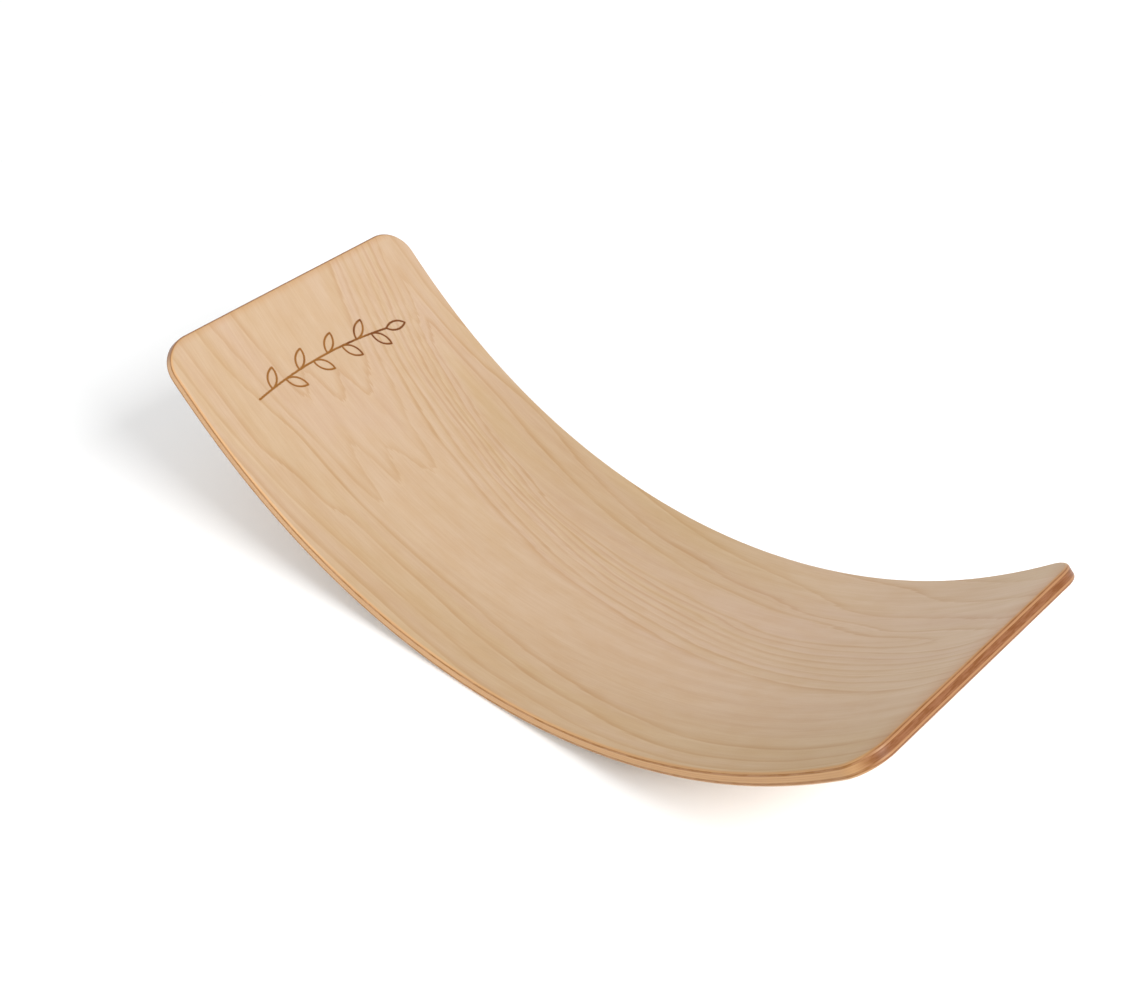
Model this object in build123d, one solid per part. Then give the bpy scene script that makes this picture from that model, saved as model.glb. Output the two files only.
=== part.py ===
"""A curved one-piece balance board of bent laminated wood.

Seven veneers are glued over each other and pressed to one bend: a long middle arc that the
board rocks on, with a gentler arc at each end. The rectangle has rounded corners, and its rim
is rounded over above and below. A leaf sprig is engraved in the concave face near one end.

Frame: millimetres, +X along the board, +Y across it, +Z up. The origin is on the floor, under
the middle of the board, where its convex side touches.
"""
from collections import namedtuple
from math import atan2, copysign, cos, degrees, sin
import os

from build123d import *

# The bend, measured on the concave face. "Along" is a length on that face from its middle.
MIDDLE_RADIUS = 517.0        # radius of the arc that the board rocks on
MIDDLE_HALF_LENGTH = 320.0   # how far that arc runs each way from the middle
END_RADIUS = 625.0           # radius of the gentler arcs at the ends
HALF_LENGTH = 430.0          # from the middle to the end edge

# The outline and the rim
WIDTH = 300.0
CORNER_RADIUS = 30.0
RIM_RADIUS = 3.0

# The veneers, from the concave face down. The grain of a cross veneer runs across the board.
Veneer = namedtuple("Veneer", "name thickness")
VENEERS = [
    Veneer("face_veneer", 1.5),
    Veneer("upper_cross_veneer", 1.8),
    Veneer("upper_core_veneer", 1.9),
    Veneer("middle_core_veneer", 1.9),
    Veneer("lower_core_veneer", 1.9),
    Veneer("lower_cross_veneer", 1.8),
    Veneer("back_veneer", 2.2),
]
THICKNESS = sum(veneer.thickness for veneer in VENEERS)

# The engraved sprig: a curved stem across the board, with leaves above and below it
SPRIG_ALONG = -345.0         # the middle of the sprig, towards the -X end
SPRIG_LENGTH = 184.0
SPRIG_RISE = 7.0             # how far the middle of the stem bows up the slope
LEAF_COUNT = 8               # along the stem, on alternate sides, with one more at its tip
LEAF_LENGTH = 22.0
LEAF_WIDTH = 9.0
LEAF_TILT = 48.0             # degrees from the stem
STROKE_WIDTH = 1.7
GROOVE_DEPTH = 0.35

# How far a cutting body reaches past the board
CLEARANCE = 10.0

MIDDLE_ANGLE = MIDDLE_HALF_LENGTH / MIDDLE_RADIUS


def bend_frame(along):
    """The centre, radius and angle of the bend at a length along the concave face."""
    reach = abs(along)
    side = copysign(1.0, along)
    top_centre = THICKNESS + MIDDLE_RADIUS
    if reach <= MIDDLE_HALF_LENGTH:
        return 0.0, top_centre, MIDDLE_RADIUS, along / MIDDLE_RADIUS
    step = MIDDLE_RADIUS - END_RADIUS
    angle = MIDDLE_ANGLE + (reach - MIDDLE_HALF_LENGTH) / END_RADIUS
    centre_x = side * step * sin(MIDDLE_ANGLE)
    centre_z = top_centre - step * cos(MIDDLE_ANGLE)
    return centre_x, centre_z, END_RADIUS, side * angle


def bend_point(along, depth):
    """The point of the lengthwise section at a depth square to the concave face."""
    centre_x, centre_z, radius, angle = bend_frame(along)
    reach = radius + depth
    return Vector(centre_x + reach * sin(angle), 0, centre_z - reach * cos(angle))


def bend_line(depth, half_length):
    """The three tangent arcs at one depth, from the -X end to the +X end."""
    ends = [-half_length, -MIDDLE_HALF_LENGTH, MIDDLE_HALF_LENGTH, half_length]
    return [
        ThreePointArc(
            bend_point(start, depth),
            bend_point((start + end) / 2, depth),
            bend_point(end, depth),
        )
        for start, end in zip(ends, ends[1:])
    ]


def bent_slab(top, bottom, half_length, width):
    """A slab that follows the bend between two depths, with square ends."""
    upper = bend_line(top, half_length)
    lower = bend_line(bottom, half_length)
    left = Line(upper[0] @ 0, lower[0] @ 0)
    right = Line(upper[-1] @ 1, lower[-1] @ 1)
    section = Face(Wire([*upper, right, *lower, left]))
    return extrude(section, amount=width / 2, both=True)


def is_bend_face(face):
    """Whether a face is the concave or the convex side, rather than the rim or a corner."""
    return face.geom_type == GeomType.CYLINDER and face.radius > MIDDLE_RADIUS - 1


def finished_board():
    """The pressed board in one piece, with its corners and its rim rounded."""
    slab = bent_slab(0, THICKNESS, HALF_LENGTH, WIDTH)
    straight = slab.edges().filter_by(GeomType.LINE)
    slab = fillet(straight - straight.filter_by(Axis.Y), CORNER_RADIUS)
    sides = slab.faces().filter_by(is_bend_face)
    edges = [edge for side in sides for edge in side.edges()]
    rim = [edge for edge in edges if edges.count(edge) == 1]
    return fillet(rim, RIM_RADIUS)


def leaf():
    """The outline of one leaf as a stroke, from its foot at the origin along +X."""
    half_length, half_width = LEAF_LENGTH / 2, LEAF_WIDTH / 2
    side_arc = ThreePointArc((0, 0), (half_length, half_width), (LEAF_LENGTH, 0))
    other_arc = ThreePointArc((LEAF_LENGTH, 0), (half_length, -half_width), (0, 0))
    blade = make_face([side_arc, other_arc])
    half_stroke = STROKE_WIDTH / 2
    return offset(blade, half_stroke) - offset(blade, -half_stroke)


def leaf_on(stem, place, tilt):
    """A leaf with its foot on the stem, turned by tilt degrees from the stem's direction."""
    tangent = stem % place
    heading = degrees(atan2(tangent.Y, tangent.X))
    return Pos(stem @ place) * Rot(0, 0, heading + tilt) * leaf()


def sprig():
    """The stem and its leaves, drawn flat: +X across the board, +Y up the slope."""
    foot = -SPRIG_LENGTH / 2
    tip = SPRIG_LENGTH / 2 - LEAF_LENGTH
    stem = ThreePointArc((foot, 0), ((foot + tip) / 2, SPRIG_RISE), (tip, 0))
    drawing = trace(stem, STROKE_WIDTH)
    for index in range(LEAF_COUNT):
        place = (index + 1) / (LEAF_COUNT + 1)
        side = 1 if index % 2 == 0 else -1
        drawing += leaf_on(stem, place, side * LEAF_TILT)
    return drawing + leaf_on(stem, 1, 0)


def engraving():
    """The body that the engraver takes out of the concave face."""
    foot = bend_point(SPRIG_ALONG, 0)
    inward = foot - bend_point(SPRIG_ALONG, 1)
    plane = Plane(origin=foot, x_dir=(0, 1, 0), z_dir=inward)
    strokes = extrude(plane * sprig(), amount=CLEARANCE, both=True)
    return strokes & bent_slab(-1, GROOVE_DEPTH, HALF_LENGTH, WIDTH)


def veneers():
    """Each veneer's name and solid: the finished board between two depths of the bend."""
    board = finished_board()
    outer = THICKNESS + CLEARANCE
    solids = {}
    top = 0.0
    for veneer in VENEERS:
        bottom = top + veneer.thickness
        upper_cut = -CLEARANCE if veneer is VENEERS[0] else top
        lower_cut = outer if veneer is VENEERS[-1] else bottom
        layer = bent_slab(upper_cut, lower_cut, HALF_LENGTH + CLEARANCE, WIDTH + CLEARANCE)
        solids[veneer.name] = board & layer
        top = bottom
    solids["face_veneer"] -= engraving()
    return solids


os.makedirs("parts", exist_ok=True)
for name, solid in veneers().items():
    export_step(solid, f"parts/{name}.step")
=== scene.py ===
"""The look of the curved wooden balance board: fine meshes of its seven veneers, and their wood.

Every veneer is first laid out flat. "Along" is a length on the concave face from its middle,
"across" is +Y, and "depth" is measured down from that face. The rim is rounded and the sprig is
engraved in the flat, and then each point is pressed to the bend that the CAD model has.
"""
import math

import bmesh
import bpy
import numpy as np
from mathutils import Matrix, Vector


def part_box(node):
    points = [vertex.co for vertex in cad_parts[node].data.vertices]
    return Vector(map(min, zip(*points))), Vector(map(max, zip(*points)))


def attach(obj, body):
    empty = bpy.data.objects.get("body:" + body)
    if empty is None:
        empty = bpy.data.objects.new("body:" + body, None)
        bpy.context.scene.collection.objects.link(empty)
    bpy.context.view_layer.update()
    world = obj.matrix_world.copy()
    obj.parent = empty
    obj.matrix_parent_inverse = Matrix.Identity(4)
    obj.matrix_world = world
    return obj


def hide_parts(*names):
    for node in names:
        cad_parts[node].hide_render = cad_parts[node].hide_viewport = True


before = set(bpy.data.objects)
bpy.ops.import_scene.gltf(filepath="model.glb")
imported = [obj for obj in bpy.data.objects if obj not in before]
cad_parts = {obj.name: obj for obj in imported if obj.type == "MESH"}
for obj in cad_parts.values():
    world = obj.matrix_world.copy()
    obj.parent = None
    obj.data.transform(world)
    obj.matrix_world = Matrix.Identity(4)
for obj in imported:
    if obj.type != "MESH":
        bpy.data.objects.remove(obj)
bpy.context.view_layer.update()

MM = 0.001
TINY = 1e-9             # keeps a logarithm or a division off zero

# The bend and the outline of the board, as in the CAD model (mm)
MIDDLE_RADIUS = 517.0
MIDDLE_HALF_LENGTH = 320.0
END_RADIUS = 625.0
HALF_LENGTH = 430.0
CORNER_RADIUS = 30.0
RIM_RADIUS = 3.0
HALF_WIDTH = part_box("middle_core_veneer")[1].y / MM

# The veneers from the concave face down. The lowest point of each is the bottom of its layer.
VENEERS = [
    "face_veneer",
    "upper_cross_veneer",
    "upper_core_veneer",
    "middle_core_veneer",
    "lower_core_veneer",
    "lower_cross_veneer",
    "back_veneer",
]
FACE_THICKNESS = 1.5
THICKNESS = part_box("face_veneer")[0].z / MM + FACE_THICKNESS

# The mesh of a veneer (mm)
ROW_STEP = 4.0          # between the rows that run across the board
SHOWN_COLUMNS = 75      # across a face that shows
HIDDEN_COLUMNS = 8      # across a face that is glued to its neighbour
CORNER_ROWS = 12        # in the round of a corner
RIM_STEPS = 9           # in the quarter round of the rim
RIM_GAP = 0.05          # least depth between a layer's face and its next row of rim points

# The engraved sprig, as in the CAD model (mm)
SPRIG_ALONG = -345.0
SPRIG_LENGTH = 184.0
SPRIG_RISE = 7.0
LEAF_COUNT = 8
LEAF_LENGTH = 22.0
LEAF_WIDTH = 9.0
LEAF_TILT = 48.0
STROKE_WIDTH = 1.7
GROOVE_DEPTH = 0.35
GROOVE_WALL = 0.5       # how wide the slope of a groove's side is
SCORCH_WIDTH = 0.5      # how far the brown reaches past a groove
SPRIG_MARGIN = 5.0      # of fine mesh round the sprig
FINE_CUTS = 7           # in each edge of the mesh there


# ---- The bend ----

def bend_angle(along):
    """The slope of the face at a length along it, in radians."""
    reach = np.abs(along)
    past = np.maximum(reach - MIDDLE_HALF_LENGTH, 0)
    within = reach - past
    return np.sign(along) * (within / MIDDLE_RADIUS + past / END_RADIUS)


def press(flat):
    """Flat points (along, across, depth) in mm, pressed to the bend, in metres."""
    along, across, depth = flat.T
    angle = bend_angle(along)
    joint = MIDDLE_HALF_LENGTH / MIDDLE_RADIUS
    turn = np.clip(angle, -joint, joint)
    middle = MIDDLE_RADIUS - END_RADIUS
    x = middle * np.sin(turn) + (END_RADIUS + depth) * np.sin(angle)
    z = middle * np.cos(turn) + (END_RADIUS + depth) * np.cos(angle)
    return np.stack([x, across, THICKNESS + MIDDLE_RADIUS - z], axis=1) * MM


def press_directions(flat, directions):
    """Directions in the flat, with depth turned to up, turned as the bend turns them."""
    angle = bend_angle(flat[:, 0])
    cosine, sine = np.cos(angle), np.sin(angle)
    x = directions[:, 0] * cosine - directions[:, 2] * sine
    z = directions[:, 0] * sine + directions[:, 2] * cosine
    return np.stack([x, directions[:, 1], z], axis=1)


# ---- The sprig ----

def arc_through(start, end, bow):
    """Centre, radius, middle direction and half angle of the arc that bows left by bow."""
    start, end = np.array(start), np.array(end)
    chord = end - start
    half = np.linalg.norm(chord) / 2
    left = np.array([-chord[1], chord[0]]) / (2 * half)
    radius = (half * half + bow * bow) / (2 * abs(bow))
    toward = left * math.copysign(1.0, bow)
    centre = (start + end) / 2 + toward * (abs(bow) - radius)
    return centre, radius, toward, math.asin(half / radius)


def distance_to_arc(points, arc, ends):
    """How far each flat point is from an arc and its two ends."""
    centre, radius, toward, half_angle = arc
    offset = points - centre
    length = np.linalg.norm(offset, axis=1)
    beside = offset @ toward >= length * math.cos(half_angle)
    to_curve = np.abs(length - radius)
    to_ends = np.min([np.linalg.norm(points - end, axis=1) for end in ends], axis=0)
    return np.where(beside, to_curve, to_ends)


def sprig_strokes():
    """The arcs of the drawing, +X across the board and +Y up the slope, each with its ends."""
    foot = np.array([-SPRIG_LENGTH / 2, 0.0])
    tip = np.array([SPRIG_LENGTH / 2 - LEAF_LENGTH, 0.0])
    stem = arc_through(foot, tip, SPRIG_RISE)
    centre, radius, _, half_angle = stem
    strokes = [(stem, (foot, tip))]
    places = [(index + 1) / (LEAF_COUNT + 1) for index in range(LEAF_COUNT)]
    tilts = [LEAF_TILT if index % 2 == 0 else -LEAF_TILT for index in range(LEAF_COUNT)]
    for place, tilt in zip(places + [1.0], tilts + [0.0]):
        turned = half_angle * (1 - 2 * place)
        start = centre + radius * np.array([-math.sin(turned), math.cos(turned)])
        heading = turned + math.radians(tilt)
        end = start + LEAF_LENGTH * np.array([math.cos(heading), math.sin(heading)])
        for bow in (LEAF_WIDTH / 2, -LEAF_WIDTH / 2):
            strokes.append((arc_through(start, end, bow), (start, end)))
    return strokes


def distance_to_sprig(along, across):
    """How far each point is from the middle of the nearest stroke, in mm."""
    points = np.stack([across, SPRIG_ALONG - along], axis=1)
    return np.min([distance_to_arc(points, arc, ends) for arc, ends in sprig_strokes()], axis=0)


def ramp(value, low, high):
    """A smooth step from 1 at low to 0 at high."""
    share = np.clip((value - low) / (high - low), 0, 1)
    return 1 - share * share * (3 - 2 * share)


def groove_depth(along, across):
    """The depth of the engraving in mm."""
    edge = STROKE_WIDTH / 2
    distance = distance_to_sprig(along, across)
    return GROOVE_DEPTH * ramp(distance, edge - GROOVE_WALL / 2, edge + GROOVE_WALL / 2)


def scorch_share(along, across):
    """How brown the wood is, from 1 in a groove to 0 where the brown ends."""
    edge = STROKE_WIDTH / 2
    distance = distance_to_sprig(along, across)
    return ramp(distance, edge - SCORCH_WIDTH / 2, edge + SCORCH_WIDTH)


# ---- The figure of the wood ----

# Where the dark growth lines of the concave face run: for each ring, points (along, across) in
# mm. A ring comes back where the veneer was sliced through a wave of the log: the flame near the
# far side and the teeth near the engraved end.
GROWTH_LINES = [
    (-0.5, [(-420, 10), (-420, -30), (-380, -10)]),
    (0, [(-430, 57), (-380, 44), (-330, 30), (-298, 8), (-330, -4), (-303, -20), (-345, -32)]),
    (0, [(-325, -48), (-370, -59), (-430, -67)]),
    (1, [(-430, 66), (-330, 44), (-260, 24), (-208, -2), (-243, -15), (-208, -32), (-265, -43)]),
    (1, [(-240, -53), (-203, -64), (-240, -68), (-320, -76), (-430, -92)]),
    (1.5, [(-150, -15), (-160, -50), (-60, -30), (-60, -60), (80, -35), (80, -80)]),
    (1.5, [(220, -50), (220, -95), (340, -60), (340, -100), (430, -75)]),
    (2, [(-430, 74), (-330, 55), (-200, 32), (-100, 17), (0, 3), (100, -8), (200, -20)]),
    (2, [(300, -31), (430, -38)]),
    (2, [(-430, -108), (-360, -96), (-300, -82), (-200, -80), (-100, -79), (0, -89)]),
    (2, [(100, -102), (200, -113), (320, -117), (430, -117)]),
    (3, [(-430, 84), (-330, 64), (-200, 42), (-100, 27), (0, 12), (200, -9), (400, -27)]),
    (3, [(-430, -129), (-310, -121), (-270, -111), (-225, -106), (-205, -98), (-100, -98)]),
    (3, [(0, -109), (100, -118), (200, -131), (400, -134)]),
    (4, [(-430, 93), (-330, 72), (-200, 54), (-100, 37), (0, 22), (100, 12), (200, -2)]),
    (4, [(300, -10), (400, -16), (-420, -143), (-300, -133), (-200, -124), (-100, -122)]),
    (4, [(0, -131), (100, -138), (200, -143), (400, -144)]),
    (5, [(-430, 101), (-330, 80), (-200, 61), (-100, 45), (0, 30), (200, 6), (400, -6)]),
    (5, [(-300, -147), (-200, -142), (-100, -140), (0, -147)]),
    (5, [(300, 148), (350, 135), (420, 118)]),
    (6, [(-430, 110), (-360, 98), (-200, 68), (-100, 52), (0, 37), (200, 13), (400, 3)]),
    (6, [(160, 149), (260, 133), (330, 106), (420, 88)]),
    (7, [(-430, 120), (-360, 105), (-300, 90), (-200, 73), (-100, 56), (0, 46), (200, 22)]),
    (7, [(400, 11), (-360, 140), (-60, 147), (0, 138), (100, 125), (150, 117), (200, 101)]),
    (7, [(300, 84), (350, 76), (420, 53)]),
    (8, [(-385, 121), (-345, 111), (-300, 96), (-200, 77), (-100, 60), (0, 52), (110, 43)]),
    (8, [(150, 34), (200, 31), (290, 28), (400, 20)]),
    (8, [(-360, 125), (-300, 130), (-260, 136), (-200, 143), (-120, 130), (-40, 115), (0, 107)]),
    (8, [(60, 102), (90, 94), (150, 88), (200, 76), (300, 60), (420, 36)]),
    (9, [(-330, 114), (-300, 102), (-200, 83), (-100, 65), (0, 58), (110, 48), (200, 37)]),
    (9, [(-300, 119), (-240, 122), (-180, 116), (-100, 104), (0, 92), (100, 80), (200, 70)]),
    (9, [(300, 52), (350, 42), (300, 35)]),
    (9.7, [(-280, 110), (-200, 100), (-100, 85), (0, 75), (100, 64), (200, 53)]),
]
FIGURE_STRETCH = 4.0    # how much longer the figure is along the board than across it


def ring_field():
    """A function of (along, across) that is whole on the growth lines: a thin-plate spline."""
    known = [(ring, point) for ring, points in GROWTH_LINES for point in points]
    squeeze = np.array([1 / FIGURE_STRETCH, 1])
    centres = np.array([point for _, point in known]) * squeeze
    rings = np.array([ring for ring, _ in known], dtype=float)

    def kernel(points):
        gap = np.sum((points[:, None, :] - centres[None, :, :]) ** 2, axis=2)
        return gap * np.log(gap + TINY)

    def plane(points):
        return np.column_stack([np.ones(len(points)), points])

    count = len(centres)
    system = np.zeros((count + 3, count + 3))
    system[:count, :count] = kernel(centres)
    system[:count, count:] = plane(centres)
    system[count:, :count] = plane(centres).T
    weights = np.linalg.solve(system, np.append(rings, np.zeros(3)))

    def field(along, across):
        points = np.stack([along, across], axis=1) * squeeze
        return kernel(points) @ weights[:count] + plane(points) @ weights[count:]

    return field


# ---- The mesh of a veneer ----

def rim_inset(depth):
    """How far the rim stands back from the outline at a depth, for its two quarter rounds."""
    near_face = max(RIM_RADIUS - depth, RIM_RADIUS - (THICKNESS - depth), 0)
    return RIM_RADIUS - math.sqrt(max(RIM_RADIUS**2 - near_face**2, 0))


def rim_depths(top, bottom):
    """The depths of a layer's rows of rim points, close together in the rounds."""
    turns = np.linspace(0, math.pi / 2, RIM_STEPS + 1)
    upper = RIM_RADIUS * (1 - np.cos(turns))
    both = np.concatenate([upper, THICKNESS - upper])
    inside = both[(both > top + RIM_GAP) & (both < bottom - RIM_GAP)]
    return [top, *sorted(inside), bottom]


def rows():
    """The rows across the board: where the round starts, and the turn in the corner there."""
    straight = HALF_LENGTH - CORNER_RADIUS
    count = round(2 * straight / ROW_STEP)
    middle = [(along, 0.0) for along in np.linspace(-straight, straight, count + 1)]
    turns = np.linspace(0, math.pi / 2, CORNER_ROWS + 1)[1:]
    left = [(-straight, -turn) for turn in turns[::-1]]
    right = [(straight, turn) for turn in turns]
    return left + middle + right


def layer_grid(depth, columns):
    """Flat points of the whole layer at one depth, as rows and columns."""
    radius = CORNER_RADIUS - rim_inset(depth)
    start, turn = np.array(rows()).T
    along = start + radius * np.sin(turn)
    half_width = HALF_WIDTH - CORNER_RADIUS + radius * np.cos(turn)
    across = half_width[:, None] * np.linspace(-1, 1, columns + 1)[None, :]
    along = np.broadcast_to(along[:, None], across.shape)
    return np.stack([along, across, np.full(across.shape, depth)], axis=2)


def outline(grid):
    """The rim points of a layer's grid, once round."""
    return np.concatenate([grid[0, :-1], grid[:-1, -1], grid[-1, :0:-1], grid[:0:-1, 0]])


def grid_faces(mesh, verts, upward):
    """Quads between the vertices of a grid, facing up or down."""
    for row, next_row in zip(verts, verts[1:]):
        for a, b, c, d in zip(row, next_row, next_row[1:], row[1:]):
            mesh.faces.new((a, b, c, d) if upward else (d, c, b, a))


def flat_layer(top, bottom, columns):
    """A closed layer in the flat, with the board's outline and rim between two depths."""
    mesh = bmesh.new()
    loops = []
    for depth in rim_depths(top, bottom):
        grid = layer_grid(depth, columns)
        if depth in (top, bottom):
            verts = [[mesh.verts.new(point) for point in row] for row in grid]
            grid_faces(mesh, verts, upward=depth == top)
            loops.append(outline(np.array(verts)))
        else:
            loops.append([mesh.verts.new(point) for point in outline(grid)])
    for upper, lower in zip(loops, loops[1:]):
        for i in range(len(upper)):
            mesh.faces.new((upper[i - 1], upper[i], lower[i], lower[i - 1]))
    return mesh


def refine_sprig(mesh):
    """Finer mesh in the concave face, where the sprig is."""
    reach = SPRIG_LENGTH / 2 + SPRIG_MARGIN
    rise = SPRIG_RISE + LEAF_LENGTH * math.sin(math.radians(LEAF_TILT)) + SPRIG_MARGIN
    chosen = set()
    for face in mesh.faces:
        along, across, depth = face.calc_center_median()
        if depth == 0 and abs(across) < reach and abs(along - SPRIG_ALONG) < rise:
            chosen.update(face.edges)
    bmesh.ops.subdivide_edges(mesh, edges=list(chosen), cuts=FINE_CUTS, use_grid_fill=True)


def rim_normals(flat):
    """The exact direction out of the rim at each flat point, with depth turned to up."""
    along, across, depth = flat.T
    corner = np.column_stack([
        np.sign(along) * np.maximum(np.abs(along) - (HALF_LENGTH - CORNER_RADIUS), 0),
        np.sign(across) * np.maximum(np.abs(across) - (HALF_WIDTH - CORNER_RADIUS), 0),
    ])
    outward = corner / np.maximum(np.linalg.norm(corner, axis=1), TINY)[:, None]
    above = np.maximum(RIM_RADIUS - depth, 0) - np.maximum(RIM_RADIUS - THICKNESS + depth, 0)
    up = np.clip(above / RIM_RADIUS, -1, 1)
    side = np.sqrt(1 - up * up)
    return np.column_stack([outward * side[:, None], up])


def engraved_normals(flat):
    """The direction out of the concave face at each flat point, grooves included."""
    along, across, _ = flat.T
    step = 0.05
    slope_along = groove_depth(along + step, across) - groove_depth(along - step, across)
    slope_across = groove_depth(along, across + step) - groove_depth(along, across - step)
    normal = np.column_stack([slope_along, slope_across, np.full(len(along), 2 * step)])
    return normal / np.linalg.norm(normal, axis=1)[:, None]


def corner_normals(data, flat, top, bottom, engraved):
    """The direction out of the layer at each face corner of its mesh, in the flat."""
    vertex = np.zeros(len(data.loops), dtype=int)
    data.loops.foreach_get("vertex_index", vertex)
    first = np.zeros(len(data.polygons), dtype=int)
    data.polygons.foreach_get("loop_start", first)
    depth = flat[vertex, 2]
    sizes = np.diff(np.append(first, len(vertex)))
    on_top = np.repeat(np.maximum.reduceat(depth, first) <= top, sizes)
    on_bottom = np.repeat(np.minimum.reduceat(depth, first) >= bottom, sizes)
    normals = rim_normals(flat[vertex])
    normals[on_top] = (0, 0, 1)
    normals[on_bottom] = (0, 0, -1)
    if engraved:
        normals[on_top] = engraved_normals(flat[vertex[on_top]])
    return vertex, normals


def add_attribute(data, name, kind, domain, values):
    """Stores one value per point or corner for the materials to read."""
    field = "vector" if kind == "FLOAT_VECTOR" else "value"
    attribute = data.attributes.new(name, kind, domain)
    attribute.data.foreach_set(field, np.ascontiguousarray(values, dtype=np.float32).ravel())


def add_figure(data, flat, rings):
    """Where the growth rings are at each point, and how fast they pass there, in rings per m."""
    along, across, _ = flat.T
    step = 0.5
    ring = rings(along, across)
    slope_along = (rings(along + step, across) - ring) / step
    slope_across = (rings(along, across + step) - ring) / step
    add_attribute(data, "ring", "FLOAT", "POINT", ring)
    add_attribute(data, "ring_along", "FLOAT", "POINT", slope_along / MM)
    add_attribute(data, "ring_slope", "FLOAT", "POINT", np.hypot(slope_along, slope_across) / MM)


def build_veneer(name, top, bottom, rings, material):
    """One veneer: laid out flat, engraved, pressed to the bend, and given its wood."""
    shown = name in ("face_veneer", "back_veneer")
    engraved = name == "face_veneer"
    mesh = flat_layer(top, bottom, SHOWN_COLUMNS if shown else HIDDEN_COLUMNS)
    if engraved:
        refine_sprig(mesh)
    data = bpy.data.meshes.new(name + "_wood")
    mesh.to_mesh(data)
    mesh.free()
    flat = np.zeros(3 * len(data.vertices))
    data.vertices.foreach_get("co", flat)
    flat = flat.reshape(-1, 3)
    vertex, normals = corner_normals(data, flat, top, bottom, engraved)
    add_attribute(data, "flat", "FLOAT_VECTOR", "POINT", flat * MM)
    add_attribute(data, "facing", "FLOAT_VECTOR", "CORNER", normals)
    add_attribute(data, "ply", "FLOAT", "POINT", (flat[:, 2] - top) / (bottom - top))
    add_figure(data, flat, rings)
    pressed = flat.copy()
    if engraved:
        on_face = flat[:, 2] <= top
        along, across, _ = flat[on_face].T
        pressed[on_face, 2] += groove_depth(along, across)
        scorch = np.zeros(len(flat))
        scorch[on_face] = scorch_share(along, across)
        add_attribute(data, "scorch", "FLOAT", "POINT", scorch)
    data.vertices.foreach_set("co", press(pressed).ravel())
    data.update()
    data.polygons.foreach_set("use_smooth", np.ones(len(data.polygons), dtype=bool))
    data.normals_split_custom_set(press_directions(flat[vertex], normals))
    data.materials.append(material)
    piece = bpy.data.objects.new(name + "_wood", data)
    bpy.context.collection.objects.link(piece)
    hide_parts(name)
    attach(piece, "root")
    return piece


# ---- Materials ----

# The colours of the wood, 0 to 255, in the light of this scene
YELLOW_WOOD = (185, 158, 127)
PINK_WOOD = (185, 157, 133)
PALE_WOOD = (193, 168, 143)
SIDE_LONG_GRAIN = (202, 160, 114)
SIDE_END_GRAIN = (172, 128, 87)
END_LONG_GRAIN = (159, 116, 78)
END_END_GRAIN = (130, 83, 50)
SINGED_WOOD = (133, 84, 24)
BURNT_WOOD = (103, 53, 0)

# What each detail of the wood does to its red, green and blue
MOTTLE_TINT = (0.965, 0.925, 0.85)
FIBRE_TINT = (0.95, 0.935, 0.91)
BAND_TINT = (0.92, 0.855, 0.75)         # the soft dark band of a growth line
LINE_TINT = (0.92, 0.865, 0.79)         # the thin line that the band ends in
PAST_TINT = (1.04, 1.055, 1.07)         # the pale line past it
FLECK_TINT = (0.86, 0.78, 0.7)
SIDE_TINT = (0.935, 0.92, 0.84)         # towards the long sides
SLOPE_TINT = (0.965, 0.935, 0.85)       # up the slope to the plain end
PLAIN_END_TINT = (0.92, 0.8, 0.66)      # the last of that slope
TIP_TINT = (0.95, 0.84, 0.7)            # the last millimetres of either end
LONG_GRAIN_TINT = (0.88, 0.84, 0.8)     # fine lines in the long grain of the rim
PORE_TINT = (0.73, 0.58, 0.2)           # streaks of pores in the end grain of the rim
SIDE_RIM_SHADE_TINT = (0.75, 0.71, 0.64)      # painted shade on the long sides' rim towards the plain end
GLUE_TINT = (0.7, 0.63, 0.56)

TIP_LENGTH = 10.0       # of the browner tip at either end (mm)

# How wide a stretch the growth lines stray over, across themselves and along the fibres (m)
RING_WANDER = 0.003
RING_FEATHER = 0.03

# The lacquer, and the grain that is felt through it (distance in m)
SPECULAR = 0.25
COAT = 0.1
COAT_ROUGHNESS = 0.3
BUMP_STRENGTH = 0.12
BUMP_DISTANCE = 0.0002


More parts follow.
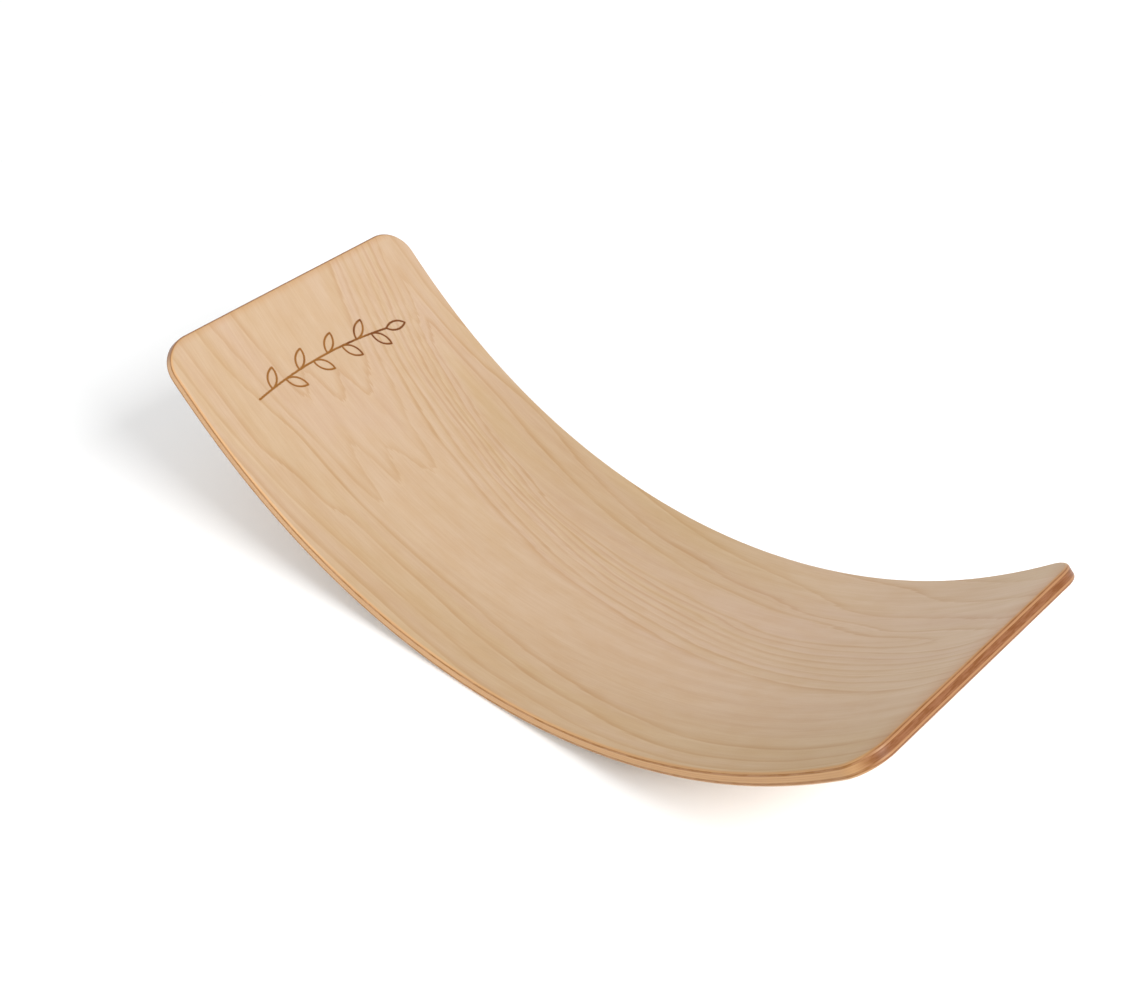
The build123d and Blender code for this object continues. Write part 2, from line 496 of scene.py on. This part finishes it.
class Nodes:
    """Short calls for the nodes of one material or world."""

    def __init__(self, owner, shader="Principled BSDF"):
        self.tree = owner.node_tree
        self.shader = self.tree.nodes[shader]

    def add(self, kind, inputs, output=0, **settings):
        made = self.tree.nodes.new("ShaderNode" + kind)
        for name, value in settings.items():
            setattr(made, name, value)
        for key, value in inputs.items():
            self.put(made.inputs[key], value)
        return made.outputs[output]

    def put(self, socket, value):
        if isinstance(value, bpy.types.NodeSocket):
            self.tree.links.new(value, socket)
        else:
            socket.default_value = value

    def attribute(self, name, output="Fac"):
        return self.add("Attribute", {}, output, attribute_name=name)

    def math(self, operation, *values):
        return self.add("Math", dict(enumerate(values)), operation=operation)

    def parts(self, vector):
        split = self.tree.nodes.new("ShaderNodeSeparateXYZ")
        self.tree.links.new(vector, split.inputs[0])
        return split.outputs

    def noise(self, place, scales, detail=2.0, roughness=0.5):
        """Noise at a place, with a scale for each axis: in cells per metre, or per ring."""
        scaled = [self.math("MULTIPLY", value, scale) for value, scale in zip(place, scales)]
        place = self.add("CombineXYZ", dict(enumerate(scaled)))
        inputs = {"Vector": place, "Scale": 1.0, "Detail": detail, "Roughness": roughness}
        return self.add("TexNoise", inputs)

    def ramp(self, value, low, high, at_low=0.0, at_high=1.0):
        inputs = dict(enumerate((value, low, high, at_low, at_high)))
        return self.add("MapRange", inputs, interpolation_type="SMOOTHSTEP")

    def mix(self, share, first, second, blend="MIX"):
        inputs = {0: share, 6: first, 7: second}
        return self.add("Mix", inputs, 2, data_type="RGBA", blend_type=blend)

    def tint(self, share, colour, factors):
        return self.mix(share, colour, (*factors, 1.0), "MULTIPLY")


def srgb(red, green, blue):
    """A colour given as 0 to 255, as Blender's linear one."""
    def linear(value):
        share = value / 255
        return share / 12.92 if share <= 0.04045 else ((share + 0.055) / 1.055) ** 2.4
    return linear(red), linear(green), linear(blue), 1.0


class WoodNodes(Nodes):
    """The nodes of a wood, which is laid out along the flat veneer."""

    def __init__(self, material):
        super().__init__(material)
        self.flat = self.parts(self.attribute("flat", "Vector"))
        self.along, self.across, self.depth = self.flat
        self.facing_along, self.facing_across, self.facing_up = self.parts(
            self.attribute("facing", "Vector"))

    def grain(self, along_scale, across_scale, depth_scale=1.0, detail=2.0, roughness=0.5):
        """Noise that is stretched along the flat veneer."""
        return self.noise(self.flat, (along_scale, across_scale, depth_scale), detail, roughness)

    def ring_grain(self, ring, along_scale, ring_scale, detail=2.0, roughness=0.5):
        """Noise that is stretched along the growth rings."""
        place = (self.along, ring, self.depth)
        return self.noise(place, (along_scale, ring_scale, 1.0), detail, roughness)

    def faces(self, direction):
        """1 where the wood faces along a direction, either way, and 0 where it faces across it."""
        return self.ramp(self.math("ABSOLUTE", direction), 0.35, 0.9)


def wandering_rings(n):
    """The growth rings, off the drawn figure a little and feathered where they cross the fibres."""
    wander = n.math("SUBTRACT", n.grain(14, 30, detail=3), 0.5)
    wander = n.math("MULTIPLY", n.attribute("ring_slope"), wander)
    ring = n.math("MULTIPLY_ADD", wander, RING_WANDER, n.attribute("ring"))
    feather = n.math("SUBTRACT", n.grain(12, 330, detail=3, roughness=0.7), 0.5)
    feather = n.math("MULTIPLY", n.attribute("ring_along"), feather)
    return n.math("MULTIPLY_ADD", feather, RING_FEATHER, ring)


def growth_lines(n, ring, slope, tone):
    """Each growth line is a soft dark band that ends in a thin line, with a pale line past it.

    Where the lines are far apart, the band is wide and the line is faint. The gap is how far a
    point is past the nearest line, in metres, and the slope is in rings per metre.
    """
    nearest = n.math("ROUND", ring)
    gap = n.math("DIVIDE", n.math("SUBTRACT", ring, nearest), slope)
    own = n.add("TexWhiteNoise", {"W": nearest}, noise_dimensions="1D")
    patchy = n.ramp(n.ring_grain(nearest, 9, 3), 0.35, 0.65, 0.5, 1.0)
    strength = n.math("MULTIPLY", n.ramp(own, 0, 1, 0.7, 1.0), patchy)
    strength = n.math("MULTIPLY", strength, n.ramp(slope, 40, 130, 1.0, 0.65))
    start = n.ramp(slope, 20, 120, -0.008, -0.0032)
    band = n.math("MULTIPLY", n.ramp(gap, start, 0), n.ramp(gap, 0, 0.0016, 1.0, 0.0))
    thin = n.ramp(n.math("ABSOLUTE", gap), 0.0, 0.0023, 1.0, 0.0)
    thin = n.math("MULTIPLY", thin, n.ramp(slope, 20, 110, 0.45, 1.0))
    past = n.ramp(gap, 0.0016, 0.0034, 1.0, 0.0)
    past = n.math("MULTIPLY", n.ramp(gap, 0.0006, 0.0016), past)
    tone = n.tint(n.math("MULTIPLY", band, strength), tone, BAND_TINT)
    tone = n.tint(n.math("MULTIPLY", thin, strength), tone, LINE_TINT)
    return n.tint(n.math("MULTIPLY", past, patchy), tone, PAST_TINT)


def browned(n, tone):
    """The colour is a little browner towards its long sides, its plain end and both tips.

    The limits of these zones are places along and across the flat veneer, in metres.
    """
    near = n.ramp(n.across, -0.115, -0.035, 1.0, 0.0)
    near = n.math("MULTIPLY", near, n.ramp(n.along, -0.32, -0.05, 0.35))
    off_middle = n.math("ABSOLUTE", n.math("ADD", n.along, 0.07))
    far = n.math("MULTIPLY", n.ramp(n.across, 0.03, 0.11), n.ramp(off_middle, 0.08, 0.3, 1.0, 0.0))
    tone = n.tint(n.math("MAXIMUM", near, far), tone, SIDE_TINT)
    tone = n.tint(n.ramp(n.along, 0.15, 0.42), tone, SLOPE_TINT)
    tone = n.tint(n.ramp(n.along, 0.4, 0.43), tone, PLAIN_END_TINT)
    tip = n.ramp(n.math("ABSOLUTE", n.along), (HALF_LENGTH - TIP_LENGTH) * MM, HALF_LENGTH * MM)
    return n.tint(tip, tone, TIP_TINT)


def face_tone(n):
    """The colour of a face, and the streaks in it, which its gloss follows too.

    There are broad bands of colour along the rings, streaks that follow them only where they are
    close, fine fibre, small dark flecks and the growth lines.
    """
    slope = n.attribute("ring_slope")
    ring = wandering_rings(n)
    bands = n.ring_grain(ring, 1.8, 0.8)
    ringed = n.ring_grain(ring, 3, 4, detail=3, roughness=0.6)
    straight = n.grain(4, 110, detail=3, roughness=0.6)
    close = n.ramp(slope, 30, 90)
    streaks = n.math("MULTIPLY_ADD", n.math("SUBTRACT", ringed, straight), close, straight)
    fibre = n.grain(24, 620, detail=4, roughness=0.7)
    mottle = n.grain(22, 55, detail=3, roughness=0.6)
    flecks = n.ramp(n.grain(260, 2300, detail=2, roughness=0.6), 0.62, 0.78)
    tone = n.mix(n.ramp(bands, 0.3, 0.7), srgb(*YELLOW_WOOD), srgb(*PINK_WOOD))
    tone = n.mix(n.ramp(streaks, 0.3, 0.7, 0.0, 0.5), tone, srgb(*PALE_WOOD))
    tone = n.tint(n.ramp(mottle, 0.35, 0.7, 0.0, 0.7), tone, MOTTLE_TINT)
    tone = n.tint(n.ramp(fibre, 0.3, 0.7), tone, FIBRE_TINT)
    tone = growth_lines(n, ring, slope, tone)
    tone = n.tint(n.math("MULTIPLY", flecks, 0.5), tone, FLECK_TINT)
    return browned(n, tone), streaks, flecks


def rim_tone(n, grain_along):
    """The colour of the rim: long grain or end grain, a dark glue line at each joint, and painted
    shade on the long sides towards the plain end.
    """
    at_end = n.faces(n.facing_along)
    end_on = at_end if grain_along else n.faces(n.facing_across)
    lines = n.grain(12, 12, 1500, detail=3, roughness=0.6)
    pores = n.grain(60, 60, 600, detail=4, roughness=0.7)
    long_tone = n.mix(at_end, srgb(*SIDE_LONG_GRAIN), srgb(*END_LONG_GRAIN))
    long_tone = n.tint(n.ramp(lines, 0.3, 0.7), long_tone, LONG_GRAIN_TINT)
    end_tone = n.mix(at_end, srgb(*SIDE_END_GRAIN), srgb(*END_END_GRAIN))
    end_tone = n.tint(n.ramp(pores, 0.4, 0.62), end_tone, PORE_TINT)
    tone = n.mix(end_on, long_tone, end_tone)
    # Painted shade: the long sides' rim is darker towards the plain end, where less light falls on
    # it
    darker = n.math("MULTIPLY", n.ramp(n.along, -0.2, 0.36), n.math("SUBTRACT", 1.0, at_end))
    tone = n.tint(darker, tone, SIDE_RIM_SHADE_TINT)
    ply = n.attribute("ply")
    from_glue = n.math("MINIMUM", ply, n.math("SUBTRACT", 1.0, ply))
    return n.tint(n.ramp(from_glue, 0.02, 0.08, 1.0, 0.0), tone, GLUE_TINT)


def scorched_tone(n, tone):
    """The brown of the engraving, which is burnt darker towards its far end."""
    heat = n.math("MULTIPLY_ADD", n.across, 4.0, n.grain(60, 60))
    burnt = n.mix(n.ramp(heat, 0.5, 0.75), srgb(*SINGED_WOOD), srgb(*BURNT_WOOD))
    return n.mix(n.attribute("scorch"), tone, burnt)


def wood_material(name, grain_along, scorched=False):
    """Lacquered wood. Its face shows growth lines, and its rim shows long grain or end grain."""
    material = bpy.data.materials.new(name)
    material.use_nodes = True
    n = WoodNodes(material)
    tone, streaks, flecks = face_tone(n)
    sideways = n.math("SUBTRACT", 1.0, n.math("ABSOLUTE", n.facing_up))
    tone = n.mix(n.ramp(sideways, 0.0, 0.25), tone, rim_tone(n, grain_along))
    if scorched:
        tone = scorched_tone(n, tone)
    n.put(n.shader.inputs["Base Color"], tone)
    n.put(n.shader.inputs["Roughness"], n.ramp(streaks, 0.2, 0.8, 0.46, 0.36))
    grain = n.math("ADD", n.math("MULTIPLY", flecks, -1.0), n.math("MULTIPLY", streaks, 0.5))
    bump = {"Strength": BUMP_STRENGTH, "Distance": BUMP_DISTANCE, "Height": grain}
    n.put(n.shader.inputs["Normal"], n.add("Bump", bump))
    n.shader.inputs["Specular IOR Level"].default_value = SPECULAR
    n.shader.inputs["Coat Weight"].default_value = COAT
    n.shader.inputs["Coat Roughness"].default_value = COAT_ROUGHNESS
    return material


def build_board():
    """The seven veneers, with the depths of their layers read from the CAD boxes."""
    materials = {
        "face_veneer": wood_material("face_wood", grain_along=True, scorched=True),
        "back_veneer": wood_material("back_wood", grain_along=True),
        "core": wood_material("core_wood", grain_along=True),
        "cross": wood_material("cross_wood", grain_along=False),
    }
    face_rings = ring_field()

    def turned_rings(along, across):
        return face_rings(-along, -across)

    top = 0.0
    for name in VENEERS:
        bottom = round(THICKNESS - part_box(name)[0].z / MM, 3)
        rings = face_rings if name == "face_veneer" else turned_rings
        kind = next(key for key in materials if key in name)
        build_veneer(name, top, bottom, rings, materials[kind])
        top = bottom


# ---- The stage ----

FLOOR_RADIUS = 1.1
FLOOR_SIDES = 96
PAPER = ((252, 253, 254), (254, 255, 255))
PAPER_ROUGHNESS = 0.9

# The surround: its strength low down, where it shows behind the floor, and overhead, and the
# rises of the direction between which it changes (0 is level, 1 is straight up)
SURROUND_LOW = 1.03
SURROUND_HIGH = 0.61
SURROUND_RISES = (0.22, 0.42)

# The lights: where they are and how wide (m), and their power (W)
KEY_LIGHT = {"place": (2.15, -0.1, 2.17), "size": 1.5, "power": 78}
FILL_LIGHT = {"place": (0, -2.36, 1.93), "size": 2.0, "power": 25}
LIT_POINT = (0, 0, 0.08)


def floor_material():
    """Plain pale paper."""
    material = bpy.data.materials.new("floor_paper")
    material.use_nodes = True
    n = Nodes(material)
    place = n.parts(n.add("TexCoord", {}, "Object"))
    mottle = n.noise(place, (3, 3, 1), detail=3)
    n.put(n.shader.inputs["Base Color"], n.mix(mottle, *(srgb(*tone) for tone in PAPER)))
    n.shader.inputs["Roughness"].default_value = PAPER_ROUGHNESS
    return material


def build_floor():
    """A round floor under the board. It ends where it is as pale as the surround."""
    mesh = bmesh.new()
    bmesh.ops.create_circle(mesh, cap_ends=True, segments=FLOOR_SIDES, radius=FLOOR_RADIUS)
    data = bpy.data.meshes.new("floor")
    mesh.to_mesh(data)
    mesh.free()
    data.materials.append(floor_material())
    floor = bpy.data.objects.new("floor", data)
    bpy.context.collection.objects.link(floor)


def add_light(name, place, size, power):
    """A square soft light that points at the board."""
    data = bpy.data.lights.new(name, "AREA")
    data.size = size
    data.energy = power
    light = bpy.data.objects.new(name, data)
    light.location = place
    aim = Vector(LIT_POINT) - Vector(place)
    light.rotation_euler = aim.to_track_quat("-Z", "Y").to_euler()
    bpy.context.collection.objects.link(light)


def build_surround():
    """A pale surround, white where it shows behind the floor and a little darker overhead."""
    world = bpy.data.worlds.new("surround")
    world.use_nodes = True
    n = Nodes(world, "Background")
    n.shader.inputs["Color"].default_value = (1, 1, 1, 1)
    _, _, rise = n.parts(n.add("TexCoord", {}, "Generated"))
    strength = n.ramp(rise, *SURROUND_RISES, SURROUND_LOW, SURROUND_HIGH)
    n.put(n.shader.inputs["Strength"], strength)
    bpy.context.scene.world = world


# The camera: where it looks from, and the point it looks at (mm and degrees)
CAMERA_TARGET = (0.0, -18.5, 131.3)
CAMERA_DISTANCE = 1621.6
CAMERA_AZIMUTH = 41.0
CAMERA_ELEVATION = 38.18
CAMERA_ROLL = 0.59
LENS_MM = 59.55
SENSOR_MM = 36.0


def build_camera():
    """The camera, at the viewing angle of the reference."""
    azimuth, elevation = math.radians(CAMERA_AZIMUTH), math.radians(CAMERA_ELEVATION)
    away = Vector((
        math.sin(azimuth) * math.cos(elevation),
        -math.cos(azimuth) * math.cos(elevation),
        math.sin(elevation),
    ))
    data = bpy.data.cameras.new("camera")
    data.lens = LENS_MM
    data.sensor_width = SENSOR_MM
    camera = bpy.data.objects.new("camera", data)
    place = (Vector(CAMERA_TARGET) + away * CAMERA_DISTANCE) * MM
    turn = away.to_track_quat("Z", "Y").to_matrix().to_4x4()
    roll = Matrix.Rotation(math.radians(CAMERA_ROLL), 4, "Z")
    camera.matrix_world = Matrix.Translation(place) @ turn @ roll
    bpy.context.collection.objects.link(camera)
    bpy.context.scene.camera = camera


build_camera()
build_floor()
build_surround()
# A soft key light from the plain end, and a fill light from the near side
add_light("key", **KEY_LIGHT)
add_light("fill", **FILL_LIGHT)
build_board()
bpy.context.scene.view_settings.view_transform = "Standard"
